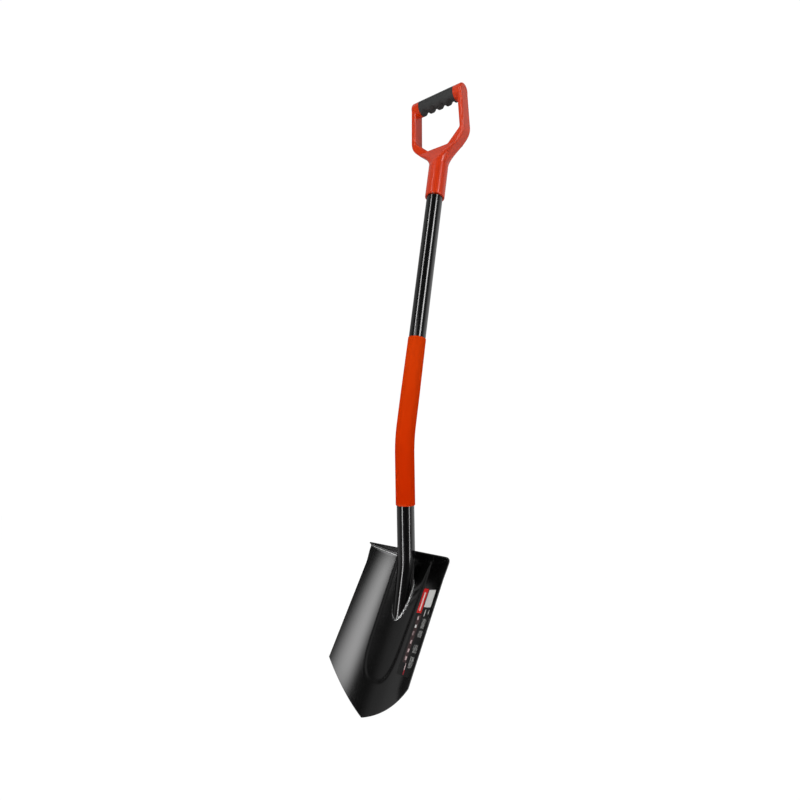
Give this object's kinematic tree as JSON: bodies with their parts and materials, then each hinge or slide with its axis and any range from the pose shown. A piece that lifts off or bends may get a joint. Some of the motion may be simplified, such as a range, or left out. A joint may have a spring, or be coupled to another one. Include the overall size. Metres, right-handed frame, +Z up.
{
  "type": "spade",
  "caption": "Pointed digging spade with a black trough blade, turned steps, a cranked tube shaft with an orange sleeve, and a red D-handle with a black soft grip.",
  "frame": {"origin": "below the middle of the bounding box, at the height of the blade's tip", "axes": "+Z up the upper shaft, +X across the blade to its right wing seen from the hollow side, +Y out of the back of the blade"},
  "size_m": [0.184, 0.1284, 1.2162],
  "materials": {
    "black_coat": "gloss powder coat",
    "sleeve_orange": "satin",
    "handle_red": "satin moulded",
    "grip_black": "matte",
    "screw_zinc": "zinc plated",
    "label_film": "printed film"
  },
  "bodies": {
    "root": {"blade": "black_coat", "shaft_tube": "black_coat", "tube_weld": "black_coat", "shaft_sleeve": "sleeve_orange", "handle_frame": "handle_red", "grip_cover": "grip_black", "handle_screw": "screw_zinc", "blade_label": "label_film"}
  },
  "joints": []
}
